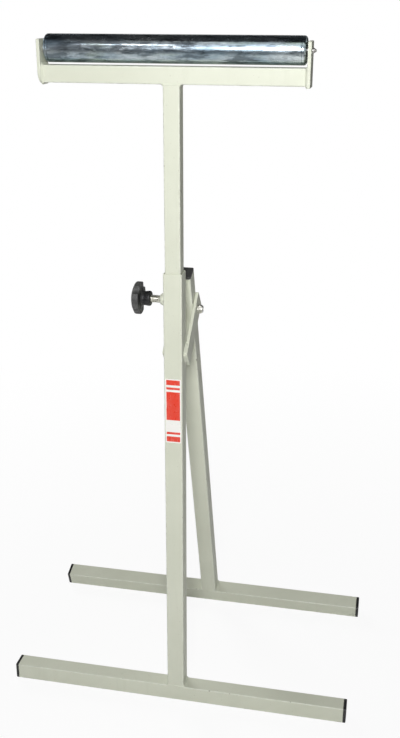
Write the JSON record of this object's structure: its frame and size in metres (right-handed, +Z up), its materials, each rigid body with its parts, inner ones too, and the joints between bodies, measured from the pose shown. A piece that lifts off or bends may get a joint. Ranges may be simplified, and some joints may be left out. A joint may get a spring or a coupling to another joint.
{
  "type": "roller stand",
  "caption": "Folding, height-adjustable roller stand of square steel tube: T-shaped front and rear frames, a sliding post clamped by a lobed knob, and a steel roller across the top.",
  "frame": {"origin": "on the floor under the middle of the outer post, which is the middle of the front foot bar's underside", "axes": "+X along the roller and the foot bars to the right, away from the knob; +Y from the outer post towards the rear leg; +Z up along the post"},
  "size_m": [0.629, 0.3619, 1.15],
  "materials": {
    "cream_paint": "semi-gloss powder coat",
    "black_plastic": "satin",
    "roller_zinc": "bright zinc plating, mottled",
    "zinc_plate": "zinc plated",
    "bright_steel": "bright drawn",
    "label_film": "printed vinyl film",
    "nylon": "natural nylon"
  },
  "bodies": {
    "front_frame": {"front_foot_bar": "cream_paint", "front_foot_cap_left": "black_plastic", "front_foot_cap_right": "black_plastic", "outer_post": "cream_paint", "post_foot_weld": "cream_paint", "hinge_bracket_left": "cream_paint", "hinge_bracket_right": "cream_paint", "bracket_welds": "cream_paint", "lock_boss": "cream_paint", "post_label": "label_film", "hinge_bolt": "zinc_plate", "hinge_washers": "zinc_plate", "hinge_nut": "zinc_plate", "hinge_nut_ring": "nylon"},
    "clamp_pad": {"lock_pad": "bright_steel"},
    "clamp_screw": {"lock_screw": "zinc_plate", "lock_knob": "black_plastic"},
    "head": {"inner_post": "cream_paint", "cross_bar": "cream_paint", "end_plate_left": "cream_paint", "end_plate_right": "cream_paint", "head_welds": "cream_paint", "roller_axle": "bright_steel", "axle_clips": "bright_steel", "axle_collar_left": "bright_steel", "axle_collar_right": "bright_steel", "bearing_race_left": "bright_steel", "bearing_race_right": "bright_steel"},
    "ball_train": {"bearing_balls_left": "bright_steel", "bearing_balls_right": "bright_steel"},
    "roller": {"roller_tube": "roller_zinc", "roller_housing_left": "roller_zinc", "roller_housing_right": "roller_zinc"},
    "rear_frame": {"rear_leg": "cream_paint", "rear_leg_plug": "black_plastic", "rear_foot_bar": "cream_paint", "rear_foot_cap_left": "black_plastic", "rear_foot_cap_right": "black_plastic", "rear_foot_weld": "cream_paint"}
  },
  "joints": [
    {"name": "height_slide", "type": "slide", "parent": "front_frame", "child": "head", "axis": [0, 0, 1], "range_m": [-0.2755, 0.097]},
    {"name": "roller_spin", "type": "hinge", "parent": "head", "child": "roller", "pos_m": [0, 0, 1.13], "axis": [1, 0, 0], "continuous": true},
    {"name": "ball_train_spin", "type": "hinge", "parent": "head", "child": "ball_train", "pos_m": [0, 0, 1.13], "axis": [1, 0, 0], "continuous": true},
    {"name": "lock_press", "type": "slide", "parent": "front_frame", "child": "clamp_pad", "axis": [-1, 0, 0], "range_m": [0, 0.0035]},
    {"name": "lock_turn", "type": "hinge", "parent": "clamp_pad", "child": "clamp_screw", "pos_m": [0, 0, 0.7576], "axis": [-1, 0, 0], "range_deg": [0, 720]},
    {"name": "leg_fold", "type": "hinge", "parent": "front_frame", "child": "rear_frame", "pos_m": [0, 0.0833, 0.719], "axis": [1, 0, 0], "range_deg": [-22.5, 0]}
  ],
  "couplings": [
    {"joint": "ball_train_spin", "follows": "roller_spin", "ratio": 0.6405},
    {"joint": "lock_turn", "follows": "lock_press", "rad_per_m": 3590.4}
  ]
}
